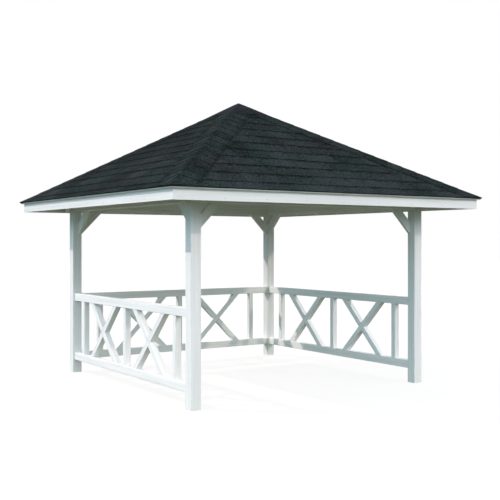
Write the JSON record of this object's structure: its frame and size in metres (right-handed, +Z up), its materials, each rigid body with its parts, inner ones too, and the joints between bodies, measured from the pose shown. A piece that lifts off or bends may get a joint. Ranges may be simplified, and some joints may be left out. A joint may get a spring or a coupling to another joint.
{
  "type": "garden gazebo",
  "caption": "Square open garden gazebo: timber posts, knee braces, cross-braced railings on all but the front side, and a shingled pyramid roof.",
  "frame": {"origin": "on the ground at the centre of the plan", "axes": "+Z up; the open side without a railing faces -Y; +X is to the right seen from the open side"},
  "size_m": [4.26, 4.26, 3.4836],
  "materials": {
    "post_paint": "white stained glued softwood, planed",
    "beam_paint": "white stained glued softwood, planed",
    "brace_paint": "white stained softwood, planed",
    "railing_paint": "white stained softwood, planed",
    "fascia_paint": "white stained board, planed",
    "rafter_paint": "white stained softwood",
    "roof_board_paint": "white stained tongued boards",
    "shingle_felt": "anthracite bitumen shingle, mineral grit",
    "cap_felt": "anthracite bitumen shingle, mineral grit"
  },
  "bodies": {
    "root": {"front_left_post": "post_paint", "front_right_post": "post_paint", "back_right_post": "post_paint", "back_left_post": "post_paint", "front_beam": "beam_paint", "front_knee_braces": "brace_paint", "front_fascia": "fascia_paint", "front_rafters": "rafter_paint", "front_roof_boards": "roof_board_paint", "front_shingles": "shingle_felt", "right_beam": "beam_paint", "right_knee_braces": "brace_paint", "right_fascia": "fascia_paint", "right_rafters": "rafter_paint", "right_roof_boards": "roof_board_paint", "right_shingles": "shingle_felt", "back_beam": "beam_paint", "back_knee_braces": "brace_paint", "back_fascia": "fascia_paint", "back_rafters": "rafter_paint", "back_roof_boards": "roof_board_paint", "back_shingles": "shingle_felt", "left_beam": "beam_paint", "left_knee_braces": "brace_paint", "left_fascia": "fascia_paint", "left_rafters": "rafter_paint", "left_roof_boards": "roof_board_paint", "left_shingles": "shingle_felt", "left_bottom_rail": "railing_paint", "left_top_rail": "railing_paint", "left_balusters": "railing_paint", "left_cross_braces": "railing_paint", "back_bottom_rail": "railing_paint", "back_top_rail": "railing_paint", "back_balusters": "railing_paint", "back_cross_braces": "railing_paint", "right_bottom_rail": "railing_paint", "right_top_rail": "railing_paint", "right_balusters": "railing_paint", "right_cross_braces": "railing_paint", "hip_rafters": "rafter_paint", "king_block": "rafter_paint", "hip_caps": "cap_felt", "apex_cap": "cap_felt"}
  },
  "joints": []
}
